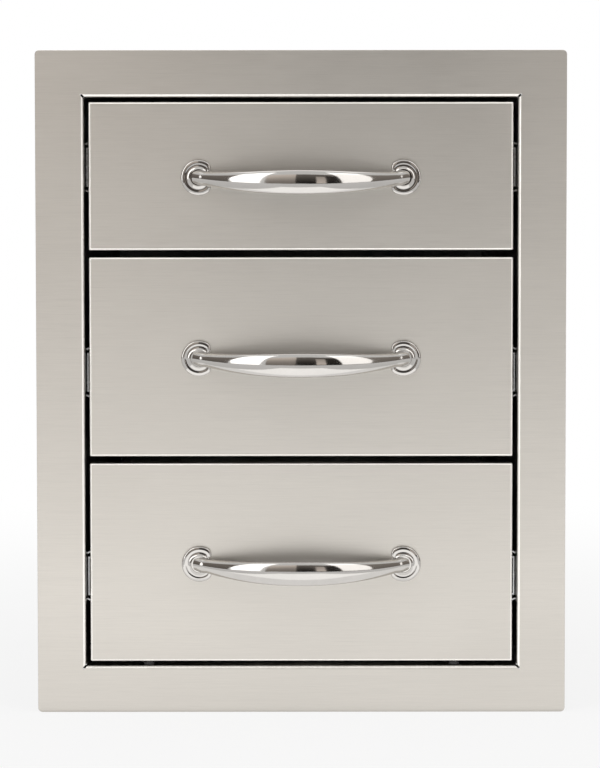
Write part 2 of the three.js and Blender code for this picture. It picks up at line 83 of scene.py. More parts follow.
# Drawer fronts
FRONT_SHEET = 1
FRONT_INSIDE_BEND = 1
FRONT_CORNER = 1.2
FRONT_SHARPEST_CORNER = 0.15
SCREW_CLEARANCE_RADIUS = 2.3

# Handles
FOOT_SPACING = 188.5
HANDLE_DROP = 1.3
FOOT_DIAMETER = 32.6
FOOT_HEIGHT = 5
FOOT_CHORD = 11
FOOT_LOBE_RADIUS = 5.5
FOOT_CURL = math.radians(45)
SEAT_GAP = 0.3
SCREW_DIAMETER = 4
SCREW_HEAD_HEIGHT = 2.5

# Slides
SLIDE_START = 20
SLIDE_LENGTH = 457
SLIDE_WALL = 201.5
SLIDE_RISE = 77
MEMBER_SHEET = 1.2
BALL_DIAMETER = 3.4
RACE_RADIUS = 2
OUTER_BALL_OFFSET = 4.2
INNER_BALL_OFFSET = 8.1
OUTER_BALL_HEIGHT = 19.8
INNER_BALL_HEIGHT = 14.6
SLIDE_THICKNESS = 12.34
CUP_HALF_ANGLE = math.radians(55)
WAVE_HALF_ANGLE = math.radians(30)
MIDDLE_WEB = 2.4
DRAWER_MEMBER_BEND = 1.8
SLIDE_CUT_START = 150
SLIDE_CUT_END = 210
BALLS_IN_ROW = 13
BALL_PITCH = 15
RETAINER_SHEET = 0.5
RETAINER_BEND = 0.5
RETAINER_WEBS = {"outer": 1.55, "inner": 3.95}
RETAINER_ARM_OVERHANG = 0.2
WINDOW_HALF_LENGTH = 2.6
WINDOW_MARGIN = 4
WINDOW_CORNER = 1.5

# Trays and housing
TRAY_HALF_WIDTH = 188.86
TRAY_SHEET = 0.9
TRAY_TOP_DROP = 22
TRAY_REAR = 469
SIDE_PANEL_OUTSIDE = 203
BACK_PANEL_REAR = 509.5
SLIDE_RIVETS = (30, 165, 293, 427)
BACK_RIVET_INSET = 7
LOWER_BACK_RIVET = 30
HIGHEST_BACK_RIVET = 130
UNDER_TRAY_RIM = 9
WELD_MARKS_IN_ROW = 7
WELD_ROW_START = 45
WELD_ROW_INSET = 8
SIDE_WELD_PITCH = 70
BACK_WELD_PITCH = 80
BACK_WELD_ROW = 194

# Faces by their normals: y where a bend turns back from the front, and the least turn to a side
BEND_NORMALS = (-0.985, -0.05)
LEAST_TURN = 0.1


# Meshes

def arc(centre, radius, start, end, steps):
    """Points on an arc, both ends included."""
    angles = [start + (end - start) * i / steps for i in range(steps + 1)]
    return [(centre[0] + radius * math.cos(a), centre[1] + radius * math.sin(a)) for a in angles]


def rounded(path, radius, steps=6):
    """A path whose inner corners are replaced by arcs of one radius."""
    points = [Vector(p) for p in path]
    result = [tuple(path[0])]
    for before, corner, after in zip(points, points[1:], points[2:]):
        arriving = (corner - before).normalized()
        leaving = (after - corner).normalized()
        turn = math.atan2(arriving.cross(leaving), arriving.dot(leaving))
        start = corner - arriving * radius * math.tan(abs(turn) / 2)
        side = math.copysign(1, turn)
        centre = start + Vector((-arriving.y, arriving.x)) * side * radius
        angle = math.atan2(start.y - centre.y, start.x - centre.x)
        result += arc(centre, radius, angle, angle + turn, steps)
    return result + [tuple(path[-1])]


def folded_sheet(path, thickness):
    """The outline of a folded sheet: one face follows the path, the other lies to its left."""
    points = [Vector(p) for p in path]
    directions = [(b - a).normalized() for a, b in zip(points, points[1:])]
    other_face = []
    for i, point in enumerate(points):
        before = directions[max(i - 1, 0)]
        after = directions[min(i, len(directions) - 1)]
        between = (before + after).normalized()
        normal = Vector((-between.y, between.x))
        other_face.append(tuple(point + normal * thickness / between.dot(after)))
    return [tuple(p) for p in points] + other_face[::-1]


def rounded_rectangle(half_width, low, high, radius, steps=4):
    """Outline of a rectangle with round corners, in x and z."""
    quarter = math.pi / 2
    corners = [(1, high - radius), (-1, high - radius), (-1, low + radius), (1, low + radius)]
    outline = []
    for i, (side, z) in enumerate(corners):
        centre = (side * (half_width - radius), z)
        outline += arc(centre, radius, i * quarter, (i + 1) * quarter, steps)
    return outline


def loft(rings):
    """Skins a row of rings with equal counts of points and caps both ends."""
    count = len(rings[0])
    vertices = [point for ring in rings for point in ring]
    faces = [tuple(range(count)), tuple(range(len(vertices) - 1, len(vertices) - count - 1, -1))]
    for ring in range(len(rings) - 1):
        for i in range(count):
            a = ring * count + i
            b = ring * count + (i + 1) % count
            faces.append((a, b, b + count, a + count))
    return vertices, faces


def extruded(outline, axis, start, end):
    """Extrudes an outline along x or y. Its points are (y, z) or (x, z)."""
    def ring(place):
        if axis == "x":
            return [(place, a, b) for a, b in outline]
        return [(a, place, b) for a, b in outline]

    return loft([ring(start), ring(end)])


def joined(shapes):
    """Several shapes as one list of vertices and faces."""
    vertices, faces = [], []
    for shape_vertices, shape_faces in shapes:
        first = len(vertices)
        vertices += shape_vertices
        faces += [tuple(first + i for i in face) for face in shape_faces]
    return vertices, faces


def new_object(name, data):
    """An object with this data, in the scene."""
    made = bpy.data.objects.new(name, data)
    scene.collection.objects.link(made)
    return made


def solid(name, shape):
    """An object from vertices in millimetres, with its faces turned outwards."""
    vertices, faces = shape
    mesh = bpy.data.meshes.new(name)
    mesh.from_pydata([Vector(v) * MM for v in vertices], [], faces)
    work = bmesh.new()
    work.from_mesh(mesh)
    bmesh.ops.remove_doubles(work, verts=work.verts, dist=1e-7)
    bmesh.ops.recalc_face_normals(work, faces=work.faces)
    work.to_mesh(mesh)
    work.free()
    return new_object(name, mesh)


def plain_mesh(made):
    """Turns what an object's modifiers make into its own mesh."""
    bpy.context.view_layer.update()
    evaluated = made.evaluated_get(bpy.context.evaluated_depsgraph_get())
    mesh = bpy.data.meshes.new_from_object(evaluated)
    made.modifiers.clear()
    made.data = mesh


def combined(made, operation, shapes):
    """Joins shapes to an object, or cuts them from it."""
    tools = [solid(f"{made.name}_tool", shape) for shape in shapes]
    for tool in tools:
        modifier = made.modifiers.new("shape", "BOOLEAN")
        modifier.operation = operation
        modifier.solver = "EXACT"
        modifier.object = tool
    plain_mesh(made)
    for tool in tools:
        bpy.data.objects.remove(tool)


def dressed(made, body, finish, replaces=(), crease=35):
    """Gives a piece smooth bends, its finish if given, and its body, and hides the CAD nodes it stands for.
    """
    made.data.shade_smooth()
    made.data.set_sharp_from_angle(angle=math.radians(crease))
    weighted = made.modifiers.new("weighted", "WEIGHTED_NORMAL")
    weighted.keep_sharp = True
    plain_mesh(made)
    if finish is not None:
        made.data.materials.clear()
        made.data.materials.append(finish)
    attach(made, body)
    if replaces:
        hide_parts(*replaces)


def on_bend(normal):
    """Whether a face lies on a bend that turns back from the front."""
    return BEND_NORMALS[0] < normal.y < BEND_NORMALS[1]


def refinished(made, finish, chosen):
    """Gives another finish to the faces whose centre, in millimetres, and normal pass a test."""
    made.data.materials.append(finish)
    for face in made.data.polygons:
        if chosen(face.center / MM, face.normal):
            face.material_index = len(made.data.materials) - 1


# Node trees

class Field:
    """A value in a Geometry Nodes tree that can be added, multiplied and so on."""

    def __init__(self, rule, socket):
        self.rule = rule
        self.socket = socket

    def __add__(self, other):
        return self.rule.math("ADD", self, other)

    def __sub__(self, other):
        return self.rule.math("SUBTRACT", self, other)

    def __rsub__(self, other):
        return self.rule.math("SUBTRACT", other, self)

    def __mul__(self, other):
        return self.rule.math("MULTIPLY", self, other)

    def __truediv__(self, other):
        return self.rule.math("DIVIDE", self, other)

    __radd__ = __add__
    __rmul__ = __mul__


def feed(tree, socket, value):
    """Links a value to a node's input, or sets it there as a plain number."""
    if isinstance(value, Field):
        value = value.socket
    if isinstance(value, bpy.types.NodeSocket):
        tree.links.new(value, socket)
    else:
        socket.default_value = value


def new_node(tree, kind, settings=None, **inputs):
    """A node with its settings and its inputs by name, where _ stands for a space."""
    node = tree.nodes.new(kind)
    for key, value in (settings or {}).items():
        setattr(node, key, value)
    for key, value in inputs.items():
        feed(tree, node.inputs[key.replace("_", " ")], value)
    return node


def math_node(tree, operation, *values):
    node = new_node(tree, "ShaderNodeMath", {"operation": operation})
    for socket, value in zip(node.inputs, values):
        feed(tree, socket, value)
    return node.outputs["Value"]


def ramp(tree, value, start, end, low, high, course="SMOOTHSTEP"):
    """Runs from low to high while value goes from start to end."""
    node = new_node(tree, "ShaderNodeMapRange", {"interpolation_type": course},
                    Value=value, From_Min=start, From_Max=end, To_Min=low, To_Max=high)
    return node.outputs["Result"]


# Finishes

GRAIN_DEPTH = 0.00001


class Finish:
    """A material whose patterns read the piece's own Object coordinates, in metres."""

    def __init__(self, name, metallic, specular=0.5, anisotropic=0.0):
        self.material = bpy.data.materials.new(name)
        self.material.use_nodes = True
        self.tree = self.material.node_tree
        self.shader = self.tree.nodes["Principled BSDF"]
        self.shader.inputs["Metallic"].default_value = metallic
        self.shader.inputs["Specular IOR Level"].default_value = specular
        self.shader.inputs["Anisotropic"].default_value = anisotropic
        self.shader.inputs["Anisotropic Rotation"].default_value = 0.25 if anisotropic else 0.0
        self.coordinates = self.tree.nodes.new("ShaderNodeTexCoord").outputs["Object"]

    def noise(self, per_metre, detail=3.0, rough=0.5, warp=0.0):
        """Noise with so many patches to the metre along x, y and z."""
        mapping = new_node(self.tree, "ShaderNodeMapping", Vector=self.coordinates, Scale=per_metre)
        noise = new_node(self.tree, "ShaderNodeTexNoise", Vector=mapping.outputs["Vector"],
                         Scale=1.0, Detail=detail, Roughness=rough, Distortion=warp)
        return noise.outputs["Fac"]

    def spread(self, pattern, low, high, pattern_low=0.3, pattern_high=0.7):
        """Stretches a pattern to run from low to high."""
        return ramp(self.tree, pattern, pattern_low, pattern_high, low, high, "LINEAR")

    def added(self, first, second):
        return math_node(self.tree, "ADD", first, second)

    def tint(self, under, share, colour):
        """Lays a colour over another by a share between 0 and 1."""
        under, colour = [value if isinstance(value, bpy.types.NodeSocket) else (*value, 1.0)
                         for value in (under, colour)]
        node = new_node(self.tree, "ShaderNodeMix", {"data_type": "RGBA"}, Factor=share, A=under, B=colour)
        return node.outputs["Result"]

    def surface(self, colour, roughness, height, depth, strength):
        """Connects colour, roughness and a relief that is so many metres deep."""
        bump = new_node(self.tree, "ShaderNodeBump", Strength=strength, Distance=depth, Height=height)
        links = {"Normal": bump.outputs["Normal"], "Base Color": colour, "Roughness": roughness}
        for key, value in links.items():
            self.tree.links.new(value, self.shader.inputs[key])
        return self.material


def shades(colour, darker, lighter):
    return [c * darker for c in colour], [c * lighter for c in colour]


def brushed_steel(name, colour, roughness, grain, anisotropic):
    """Steel with a brushed grain. grain gives brush lines to the metre along x, y and z."""
    steel = Finish(name, metallic=1.0, anisotropic=anisotropic)
    lines = steel.noise(grain, detail=3.0, rough=0.6)
    bands = steel.noise([g * 0.2 for g in grain], detail=2.0)
    clouds = steel.noise((5, 5, 7), detail=2.0)
    dark, light = shades(colour, 0.93, 1.07)
    lined = steel.tint(dark, steel.spread(lines, 0, 1), light)
    banded = steel.tint(lined, steel.spread(bands, 0, 0.55), light)
    clouded = steel.tint(banded, steel.spread(clouds, 0, 0.3), dark)
    rough = steel.spread(lines, roughness - 0.03, roughness + 0.03)
    uneven = steel.added(rough, steel.spread(clouds, -0.015, 0.015))
    return steel.surface(clouded, uneven, lines, GRAIN_DEPTH, 0.7)


def sheet_steel(name, colour, roughness, grain):
    """Mill-finished sheet: a faint rolling grain, dull clouds and fine handling marks."""
    steel = Finish(name, metallic=1.0)
    rolling = steel.noise(grain, detail=3.0, rough=0.6)
    clouds = steel.noise((18, 18, 18), detail=4.0, rough=0.6, warp=0.4)
    marks = steel.noise((90, 60, 70), detail=6.0, rough=0.75, warp=1.5)
    dark, light = shades(colour, 0.9, 1.05)
    rolled = steel.tint(dark, steel.spread(rolling, 0.2, 1), light)
    clouded = steel.tint(rolled, steel.spread(clouds, 0, 0.35), dark)
    marked = steel.tint(clouded, steel.spread(marks, 0, 0.25, 0.62, 0.75), light)
    rough = steel.spread(rolling, roughness - 0.03, roughness + 0.04)
    uneven = steel.added(rough, steel.spread(clouds, -0.05, 0.06))
    return steel.surface(marked, uneven, rolling, GRAIN_DEPTH, 0.25)


def polished_casting(name, colour):
    """Hand-polished casting: nearly a mirror, with faint waves and hair scratches."""
    metal = Finish(name, metallic=1.0)
    waves = metal.noise((45, 60, 90), detail=1.0)
    scratches = metal.noise((60, 900, 1400), detail=3.0, rough=0.7)
    film = metal.noise((40, 40, 60), detail=4.0, rough=0.65)
    dark, light = shades(colour, 0.95, 1.02)
    coloured = metal.tint(dark, metal.spread(film, 0, 1), light)
    rough = metal.spread(film, 0.045, 0.09)
    uneven = metal.added(rough, metal.spread(scratches, 0, 0.05, 0.55, 0.75))
    return metal.surface(coloured, uneven, waves, 0.0006, 0.12)


def zinc_plate(name, colour):
    """Bright zinc plating: fine crystal mottling and drawing lines along the rail."""
    zinc = Finish(name, metallic=1.0)
    drawn = zinc.noise((900, 12, 900), detail=3.0, rough=0.6)
    crystals = zinc.noise((260, 260, 260), detail=2.0)
    clouds = zinc.noise((30, 14, 30), detail=3.0)
    dark, light = shades(colour, 0.88, 1.06)
    lined = zinc.tint(dark, zinc.spread(drawn, 0.1, 1), light)
    mottled = zinc.tint(lined, zinc.spread(crystals, 0, 0.3), light)
    clouded = zinc.tint(mottled, zinc.spread(clouds, 0, 0.3), [c * 0.93 for c in dark])
    rough = zinc.spread(clouds, 0.2, 0.34)
    uneven = zinc.added(rough, zinc.spread(crystals, -0.03, 0.04))
    return zinc.surface(clouded, uneven, drawn, GRAIN_DEPTH, 0.3)


def turned_steel(name, colour, roughness):
    """Small turned or rolled steel parts: fine even marks."""
    steel = Finish(name, metallic=1.0)
    marks = steel.noise((1500, 1500, 1500), detail=2.0)
    film = steel.noise((300, 300, 300), detail=3.0)
    dark, light = shades(colour, 0.92, 1.04)
    coloured = steel.tint(dark, steel.spread(film, 0, 1), light)
    rough = steel.spread(film, roughness - 0.04, roughness + 0.05)
    return steel.surface(coloured, rough, marks, GRAIN_DEPTH, 0.2)


def moulded_rubber(name, colour):
    rubber = Finish(name, metallic=0.0, specular=0.4)
    grain = rubber.noise((2600, 2600, 2600), detail=2.0)
    dust = rubber.noise((240, 240, 240), detail=4.0, rough=0.7)
    dark, light = shades(colour, 0.85, 1.3)
    coloured = rubber.tint(dark, rubber.spread(dust, 0, 1), light)
    rough = rubber.spread(dust, 0.7, 0.85)
    return rubber.surface(coloured, rough, grain, 0.00003, 0.4)


# Grain in lines to the metre along x, y and z
FINE_ALONG_X = (700, 14, 14)
FINE_ALONG_Y = (14, 700, 14)
front_steel = brushed_steel("brushed_front_steel", (0.6, 0.572, 0.528), 0.335, (35, 35, 3200), 0.7)
# Bends get brighter copies of the steel: a painted highlight, dimmer on bends that face up or down
bend_highlight_steel = sheet_steel("bend_painted_highlight_steel", (0.95, 0.93, 0.89), 0.46, FINE_ALONG_Y)
dim_bend_highlight_steel = sheet_steel("bend_dimmer_painted_highlight_steel", (0.84, 0.82, 0.78), 0.46, FINE_ALONG_X)
weld_steel = turned_steel("tinted_weld_steel", (0.2, 0.17, 0.14), 0.4)
# Near-black steel for the mitre slits' walls and the beads behind them: painted shade
slit_shade_steel = turned_steel("slit_painted_shade_steel", (0.03, 0.03, 0.03), 0.6)
housing_steel = sheet_steel("housing_sheet_steel", (0.47, 0.47, 0.465), 0.42, FINE_ALONG_Y)
tray_steel = sheet_steel("tray_sheet_steel", (0.52, 0.51, 0.495), 0.32, (800, 12, 12))
handle_metal = polished_casting("polished_handle_metal", (0.47, 0.453, 0.432))
# The handle's back: unpolished, and dark as painted shade
back_casting_painted_shade = turned_steel("unpolished_casting_painted_shade", (0.17, 0.165, 0.16), 0.5)
slide_steel = zinc_plate("zinc_plated_steel", (0.5, 0.51, 0.52))
retainer_steel = turned_steel("retainer_spring_steel", (0.4, 0.41, 0.42), 0.34)
ball_steel = turned_steel("bearing_ball_steel", (0.72, 0.72, 0.73), 0.1)
screw_steel = turned_steel("screw_steel", (0.62, 0.62, 0.63), 0.24)
pad_rubber = moulded_rubber("pad_rubber", (0.05, 0.05, 0.052))
FINISH_OF_SLOT = {
    "front_steel": front_steel,
    "housing_steel": housing_steel,
    "tray_steel": tray_steel,
    "handle_metal": handle_metal,
    "slide_steel": slide_steel,
    "retainer_steel": retainer_steel,
    "screw_steel": screw_steel,
    "pad_rubber": pad_rubber,
}


# Geometry Nodes

class Rule:
    """A Geometry Nodes tree with named sizes, written out as sums."""

    def __init__(self, name):
        self.tree = bpy.data.node_groups.new(name, "GeometryNodeTree")
        sockets = self.tree.interface
        sockets.new_socket("Geometry", in_out="INPUT", socket_type="NodeSocketGeometry")
        sockets.new_socket("Geometry", in_out="OUTPUT", socket_type="NodeSocketGeometry")
        self.entry = self.tree.nodes.new("NodeGroupInput")
        self.exit = self.tree.nodes.new("NodeGroupOutput")
        self.identifiers = {}

    def size(self, name, default, kind="Float"):
        """A named input of the tree."""
        socket = self.tree.interface.new_socket(name, in_out="INPUT", socket_type=f"NodeSocket{kind}")
        socket.default_value = default
        self.identifiers[name] = socket.identifier
        return Field(self, self.entry.outputs[name])

    def node(self, kind, settings=None, **inputs):
        return new_node(self.tree, kind, settings, **inputs)

    def mesh(self, kind, **inputs):
        """The mesh that a node of this kind makes."""
        return self.node(f"GeometryNodeMesh{kind}", **inputs).outputs["Mesh"]

    def math(self, operation, *values):
        return Field(self, math_node(self.tree, operation, *values))

    def ease(self, value, start, end, low=0.0, high=1.0):
        """Runs smoothly from low to high while value goes from start to end."""
        return Field(self, ramp(self.tree, value, start, end, low, high))

    def point(self, x, y, z):
        return self.node("ShaderNodeCombineXYZ", X=x, Y=y, Z=z).outputs["Vector"]

    def united(self, *shapes):
        node = self.node("GeometryNodeMeshBoolean", {"operation": "UNION", "solver": "EXACT"})
        for shape in shapes:
            self.tree.links.new(shape, node.inputs["Mesh 2"])
        return node.outputs["Mesh"]

    def cut(self, shape, *tools):
        node = self.node("GeometryNodeMeshBoolean", {"operation": "DIFFERENCE", "solver": "EXACT"})
        self.tree.links.new(shape, node.inputs["Mesh 1"])
        for tool in tools:
            self.tree.links.new(tool, node.inputs["Mesh 2"])
        return node.outputs["Mesh"]

    def together(self, *shapes):
        node = self.node("GeometryNodeJoinGeometry")
        for shape in shapes:
            self.tree.links.new(shape, node.inputs["Geometry"])
        return node.outputs["Geometry"]

    def on_points(self, points, shape, facing=None):
        """A copy of a shape on every point, turned to face along facing."""
        node = self.node("GeometryNodeInstanceOnPoints", Points=points, Instance=shape)
        if facing is not None:
            turn = self.node("FunctionNodeEulerToRotation", Euler=facing)
            feed(self.tree, node.inputs["Rotation"], turn.outputs["Rotation"])
        return node.outputs["Instances"]

    def moved(self, shape, translation=(0, 0, 0), rotation=(0, 0, 0), scale=(1, 1, 1)):
        node = self.node("GeometryNodeTransform", Geometry=shape, Translation=translation,
                         Rotation=rotation, Scale=scale)
        return node.outputs["Geometry"]

    def dome(self, diameter, height):
        """A low dome that stands on z = 0."""
        ball = self.mesh("UVSphere", Segments=24, Rings=13, Radius=1.0)
        radius = diameter / 2
        lens = self.moved(ball, scale=self.point(radius, radius, height))
        block = self.mesh("Cube", Size=self.point(diameter * 2, diameter * 2, diameter * 2))
        below = self.moved(block, self.point(0.0, 0.0, diameter * -1.0))
        return self.cut(lens, below)

    def finished(self, shape, finish):
        """Ends the tree with plain meshes in one finish."""
        real = self.node("GeometryNodeRealizeInstances", Geometry=shape).outputs["Geometry"]
        clothed = self.node("GeometryNodeSetMaterial", Geometry=real, Material=finish)
        return clothed.outputs["Geometry"]

    def close(self, shape):
        self.tree.links.new(shape, self.exit.inputs["Geometry"])

    def applied(self, made, sizes):
        """Runs the tree on an object and keeps the result as its plain mesh."""
        modifier = made.modifiers.new(self.tree.name, "NODES")
        modifier.node_group = self.tree
        for name, value in sizes.items():
            modifier[self.identifiers[name]] = value
        plain_mesh(made)


def bow_handle_rule():
    """A bar that bows out from foot to foot as a parabola and grows to a tall lens. The feet are given."""
    rule = Rule("bow_handle")
    spacing = rule.size("Foot Spacing", 0.1885)
    projection = rule.size("Projection", 0.04)
    root_rise = rule.size("Root Rise", 0.0015)
    root_share = rule.size("Root Share", 0.03)
    droop = rule.size("Droop", 0.0052)
    end_height = rule.size("End Height", 0.0123)
    middle_height = rule.size("Middle Height", 0.0218)
    leg = rule.size("End Thickness", 0.013)
    front_depth = rule.size("Front Depth", 0.0035)
    back_depth = rule.size("Back Depth", 0.005)
    flare = rule.size("Root Flare", 1.16)
    flare_start = rule.size("Root Flare Start", 0.003)
    flare_end = rule.size("Root Flare End", 0.008)
    screw_radius = rule.size("Screw Hole Radius", 0.0023)
    screw_reach = rule.size("Screw Hole Depth", 0.0063)
    place = rule.size("Place", (0.0, 0.0, 0.0), "Vector")

    grid = rule.mesh("Grid", Size_X=1.0, Size_Y=1.0, Vertices_X=141, Vertices_Y=57)
    position = rule.node("GeometryNodeInputPosition").outputs["Position"]
    parts = rule.node("ShaderNodeSeparateXYZ", Vector=position)
    along = Field(rule, parts.outputs["X"]) * 2.0
    round_angle = (Field(rule, parts.outputs["Y"]) + 0.5) * (2 * math.pi)
    side = rule.math("SIGN", along)
    far = rule.math("ABSOLUTE", along)
    outboard = far * (root_share + 1.0)
    inboard = rule.math("MAXIMUM", 1.0 - outboard, 0.0)
    rest = 1.0 - inboard

    half = spacing / 2.0
    rise = projection - front_depth - root_rise
    x = half * outboard * -1.0
    out = root_rise + rise * (1.0 - outboard * outboard)
    slope = rise * outboard * 2.0
    length = rule.math("SQRT", half * half + slope * slope)

    growth = rule.math("SINE", inboard * (math.pi / 2))
    height = end_height + (middle_height - end_height) * growth
    front = leg * 0.5 + (front_depth - leg * 0.5) * growth
    back = leg * 0.5 + (back_depth - leg * 0.5) * growth
    root = rule.ease(out, flare_start, flare_end, flare, 1.0)
    open_end = rule.math("LESS_THAN", far, 0.9999)
    across = rule.math("COSINE", round_angle)
    is_back = rule.math("GREATER_THAN", across, 0.0)
    depth = across * (front + (back - front) * is_back) * root * open_end
    up = rule.math("SINE", round_angle) * height * 0.5 * root * open_end
    fall = droop * (1.0 - rest * rest * rest)
    new_x = (x + slope / length * depth) * side * -1.0
    new_y = half / length * depth - out
    shaped = rule.node("GeometryNodeSetPosition", Geometry=grid,
                       Position=rule.point(new_x, new_y, up - fall))
    sewn = rule.node("GeometryNodeMergeByDistance", Geometry=shaped.outputs["Geometry"], Distance=1e-6)
    block = rule.mesh("Cube", Size=rule.point(spacing * 2.0, projection, projection * 2.0))
    behind = rule.moved(block, rule.point(0.0, projection * 0.5, 0.0))
    seated = rule.cut(sewn.outputs["Geometry"], behind)

    casting = rule.united(rule.entry.outputs["Geometry"], seated)
    hole = rule.mesh("Cylinder", Vertices=24, Radius=screw_radius, Depth=screw_reach * 2.0)
    turned = (math.pi / 2, 0.0, 0.0)
    holes = [rule.moved(hole, rule.point(half * sign, 0.0, 0.0), turned) for sign in (-1.0, 1.0)]
    drilled = rule.cut(casting, *holes)
    rule.close(rule.finished(rule.moved(drilled, translation=place), handle_metal))
    return rule


def fastener_rule(name, finish, recessed):
    """Pan heads, or plain rivet heads, on the points of a mesh. They face along Facing."""
    rule = Rule(name)
    head = rule.size("Head Diameter", 0.009)
    height = rule.size("Head Height", 0.003)
    facing = rule.size("Facing", (0.0, 0.0, 0.0), "Vector")
    shape = rule.dome(head, height)
    if recessed:
        shank = rule.size("Shank Diameter", 0.005)
        length = rule.size("Shank Length", 0.02)
        slot_width = rule.size("Recess Width", 0.001)
        slot_length = rule.size("Recess Length", 0.005)
        sink = rule.size("Recess Depth", 0.0017)
        stem = rule.mesh("Cylinder", Vertices=24, Radius=shank * 0.5, Depth=length)
        lowered = rule.moved(stem, rule.point(0.0, 0.0, sink * 0.1 - length * 0.5))
        shape = rule.united(shape, lowered)
        for width, depth in ((slot_width, slot_length), (slot_length, slot_width)):
            bit = rule.mesh("Cube", Size=rule.point(width, depth, sink * 2.0))
            shape = rule.cut(shape, rule.moved(bit, rule.point(0.0, 0.0, height)))
    placed = rule.on_points(rule.entry.outputs["Geometry"], shape, facing)
    rule.close(rule.finished(placed, finish))
    return rule


def ball_row_rule():
    """Two rows of balls in the strip that is given."""
    rule = Rule("ball_rows")
    diameter = rule.size("Ball Diameter", 0.0034)
    pitch = rule.size("Ball Pitch", 0.015)
    count = rule.size("Balls in a Row", 13, "Int")
    first = rule.size("First Ball", (0.0, 0.0, 0.0), "Vector")
    apart = rule.size("Rows Apart", 0.04)
    ball = rule.mesh("IcoSphere", Radius=diameter * 0.5, Subdivisions=2)
    row = rule.mesh("Line", Count=count, Start_Location=first, Offset=rule.point(0.0, pitch, 0.0))
    rows = rule.together(row, rule.moved(row, translation=rule.point(0.0, 0.0, apart)))
    balls = rule.finished(rule.on_points(rows, ball), ball_steel)
    strip = rule.finished(rule.entry.outputs["Geometry"], retainer_steel)
    rule.close(rule.together(balls, strip))
    return rule


# Pieces

def box_mm(node):
    low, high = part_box(node)
    return Vector(low) / MM, Vector(high) / MM


def front_frame():
    """The flat flange, folded inwards round the opening, with a slit at each mitre."""
    low, high = box_mm("front_frame")
    face = low.y

    def ring(inset, y):
        outline = rounded_rectangle(high.x - inset, low.z + inset, high.z - inset, FRAME_CORNER - inset, 8)
        return [(x, y, z) for x, z in outline]

    made = solid("front_frame_sheet", loft([
        ring(0, 0),
        ring(0, face + FRAME_EDGE_BREAK),
        ring(FRAME_EDGE_BREAK, face),
    ]))
    half_width = OPENING_WIDTH / 2
    middle = (OPENING_BOTTOM + OPENING_TOP) / 2
    half_height = (OPENING_TOP - OPENING_BOTTOM) / 2
    bend = FRAME_OUTSIDE_BEND
    hole = rounded_rectangle(half_width + bend, OPENING_BOTTOM - bend, OPENING_TOP + bend, 0.01, 1)
    combined(made, "DIFFERENCE", [extruded(hole, "y", face - 5, 5)])
    overlap = bend + FRAME_SHEET
    path = rounded([(face, overlap), (face, 0), (RETURN_DEPTH, 0)], bend, 8)
    profile = folded_sheet(path, FRAME_SHEET)
    back_off = MITRE_SLIT * math.sqrt(0.5)
    strips = []
    for turn in range(4):
        half_length, distance = (half_height, half_width) if turn % 2 else (half_width, half_height)
        ends = []
        for end in (-1, 1):
            points = []
            for y, outwards in profile:
                across = end * (half_length + outwards - back_off)
                away = distance + outwards
                x, z = [(across, away), (away, -across), (-across, -away), (-away, across)][turn]
                points.append((x, y, middle + z))
            ends.append(points)
        strips.append(loft(ends))
    # A near-black bead behind each mitre slit, which carries the slit's painted shade
    near, far = SLIT_SHADE_BEAD_START, bend - 0.1
    shade_beads = []
    for x_side in (-1, 1):
        for z_side in (-1, 1):
            x, z = x_side * half_width, middle + z_side * half_height
            points = [(x + x_side * a, z + z_side * b)
                      for a, b in ((near, near), (far, near), (far, far), (near, far))]
            shade_beads.append(extruded(points, "y", SLIT_SHADE_BEAD_FRONT, SLIT_SHADE_BEAD_REAR))
    combined(made, "UNION", [*strips, *shade_beads])
    dressed(made, "housing", front_steel, ["front_frame"])

    def round_opening(centre, normal):
        inside = abs(centre.x) < half_width + bend and abs(centre.z - middle) < half_height + bend
        return inside and on_bend(normal)

    def in_slit(centre, normal):
        past_side = abs(centre.x) > half_width + 0.2
        past_end = abs(centre.z - middle) > half_height + 0.2
        on_shade_bead = centre.y > SLIT_SHADE_BEAD_FRONT - 0.1 and past_side and past_end
        mitred = abs(normal.y) < LEAST_TURN and abs(abs(normal.x) - abs(normal.z)) < LEAST_TURN
        return on_shade_bead or mitred

    # Bends round the opening get a painted highlight, dimmer where they face up or down
    refinished(made, bend_highlight_steel, round_opening)
    refinished(made, dim_bend_highlight_steel, lambda centre, normal: (
        round_opening(centre, normal) and abs(normal.z) > LEAST_TURN))
    # The slit walls and the beads behind them get near-black steel: painted shade
    refinished(made, slit_shade_steel, in_slit)


def front_skin(drawer):
    """The visible pan of a drawer front, with soft folded edges."""
    low, high = box_mm(f"{drawer}_front_skin")
    outside_bend = FRONT_SHEET + FRONT_INSIDE_BEND

    def ring(inset, y):
        corner = max(FRONT_CORNER - inset, FRONT_SHARPEST_CORNER)
        outline = rounded_rectangle(high.x - inset, low.z + inset, high.z - inset, corner, 4)
        return [(x, y, z) for x, z in outline]

    bend_centre = (outside_bend, low.y + outside_bend)
    inner = arc(bend_centre, FRONT_INSIDE_BEND, math.pi * 1.5, math.pi, 3)
    outer = arc(bend_centre, outside_bend, math.pi, math.pi * 1.5, 8)
    profile = [*inner, (FRONT_SHEET, high.y), (0, high.y), *outer]
    made = solid(f"{drawer}_front_sheet", loft([ring(inset, y) for inset, y in profile]))
    hole_height = (low.z + high.z) / 2 - HANDLE_DROP
    holes = []
    for side in (-1, 1):
        circle = arc((side * FOOT_SPACING / 2, hole_height), SCREW_CLEARANCE_RADIUS, 0, 2 * math.pi, 24)
        holes.append(extruded(circle[1:], "y", low.y - 5, low.y + 5))
    combined(made, "DIFFERENCE", holes)
    dressed(made, f"{drawer}_drawer", front_steel, [f"{drawer}_front_skin"])
    # The front's bends get a painted highlight, dimmer where they face down
    refinished(made, bend_highlight_steel, lambda centre, normal: on_bend(normal))
    refinished(made, dim_bend_highlight_steel, lambda centre, normal: on_bend(normal) and normal.z < -LEAST_TURN)


